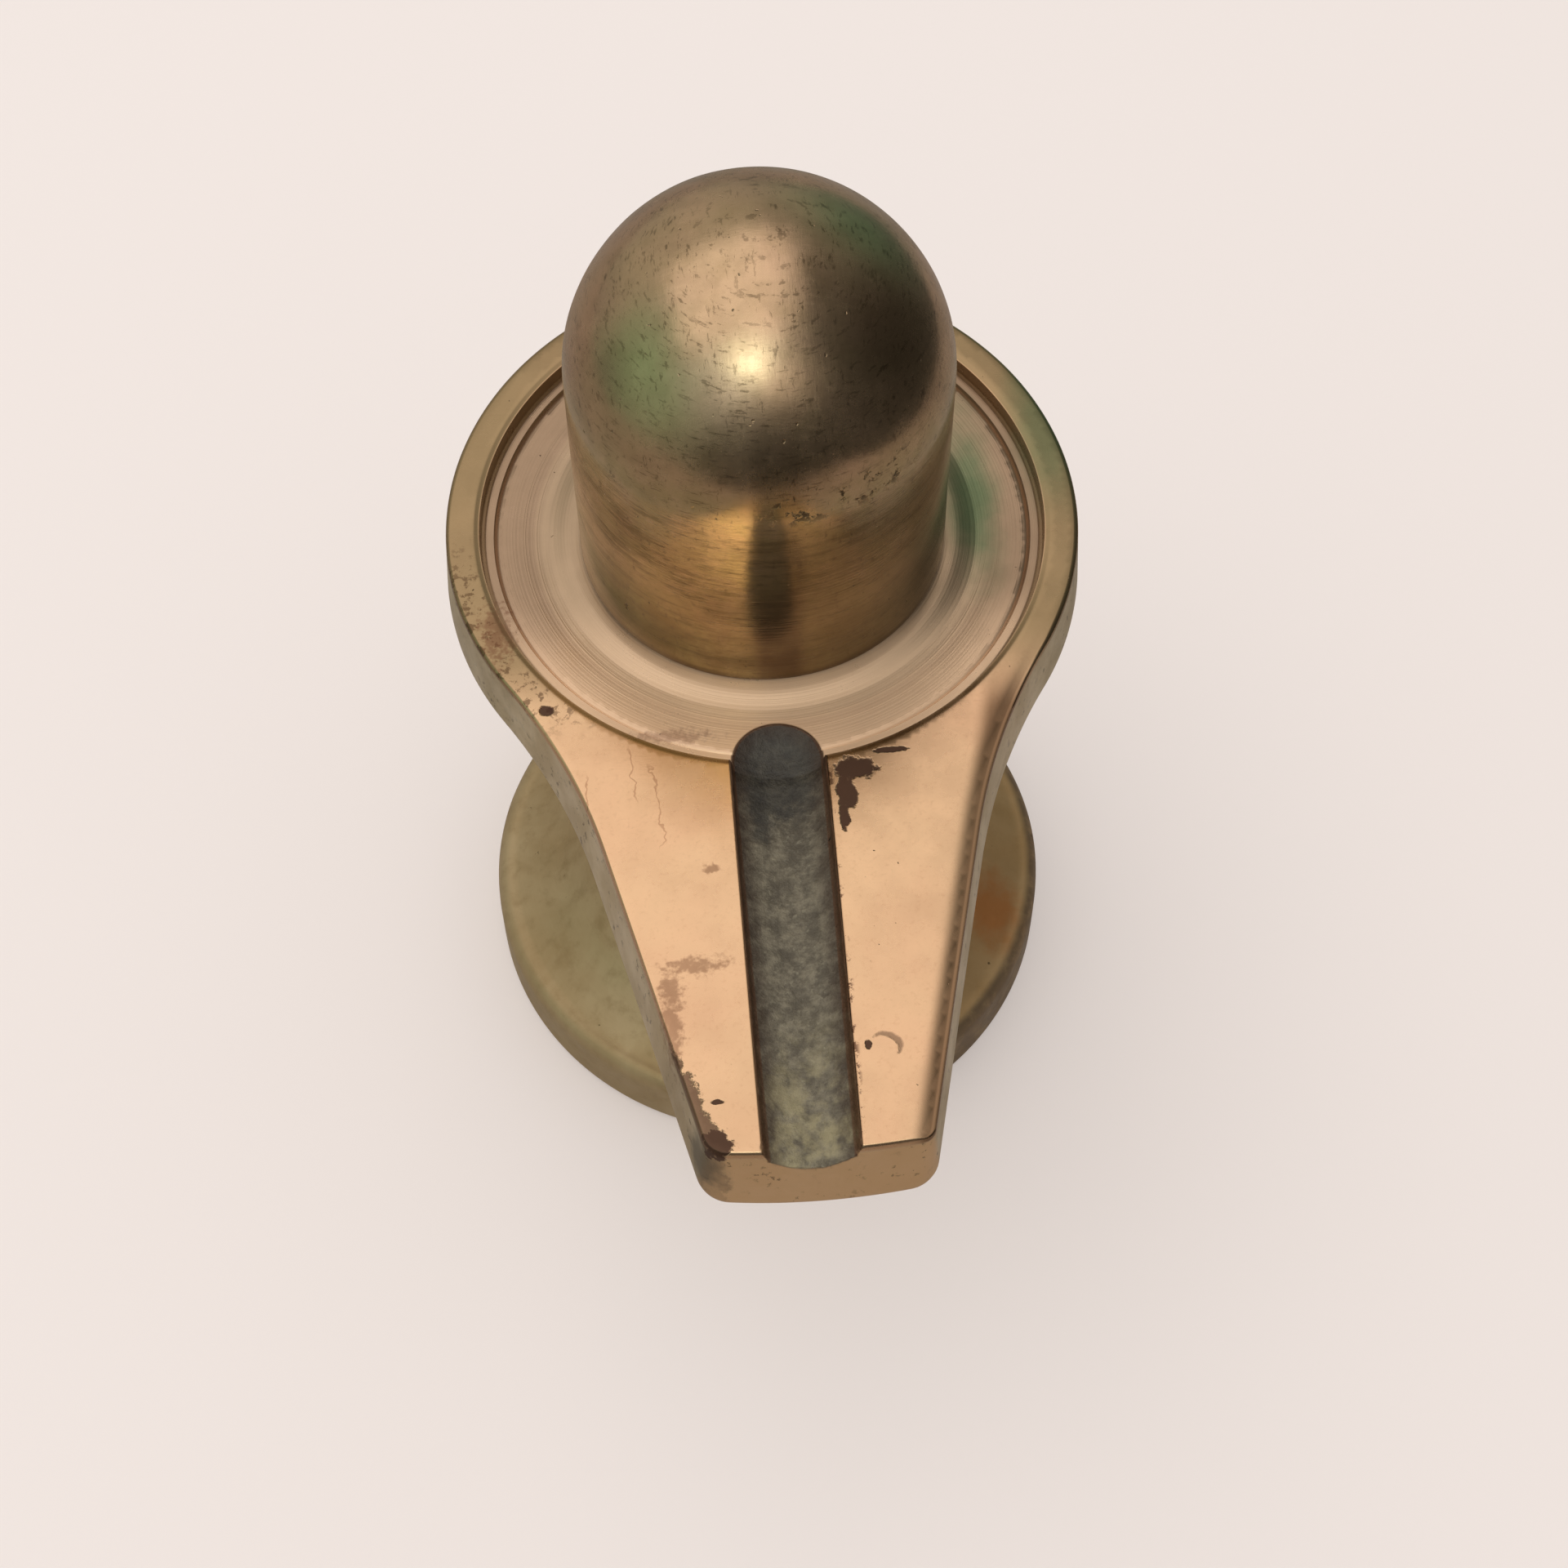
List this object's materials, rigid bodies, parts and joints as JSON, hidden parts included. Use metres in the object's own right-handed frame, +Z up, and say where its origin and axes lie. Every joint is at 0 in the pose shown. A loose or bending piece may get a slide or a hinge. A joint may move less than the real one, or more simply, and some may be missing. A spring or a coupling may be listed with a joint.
{
  "type": "lingam ornament",
  "caption": "Domed brass pillar standing in a round dish with a forward drain spout, on a waisted pedestal with a round flared foot.",
  "frame": {"origin": "on the table, under the pillar's axis, at the centre of the foot", "axes": "+Z up along the pillar's axis; the spout points along -Y; +X to the right of someone who faces the spout's end"},
  "size_m": [0.0456, 0.0718, 0.0847],
  "materials": {
    "pillar_brass": "polished, olive-brown patina",
    "dish_brass": "flat-polished, with stains and an as-cast channel",
    "pedestal_brass": "turned, dull patina",
    "fastener_steel": "zinc-plated"
  },
  "bodies": {
    "root": {"lingam": "pillar_brass", "spouted_dish": "dish_brass", "pedestal": "pedestal_brass", "tie_stud": "fastener_steel", "washer": "fastener_steel", "nut": "fastener_steel"}
  },
  "joints": []
}
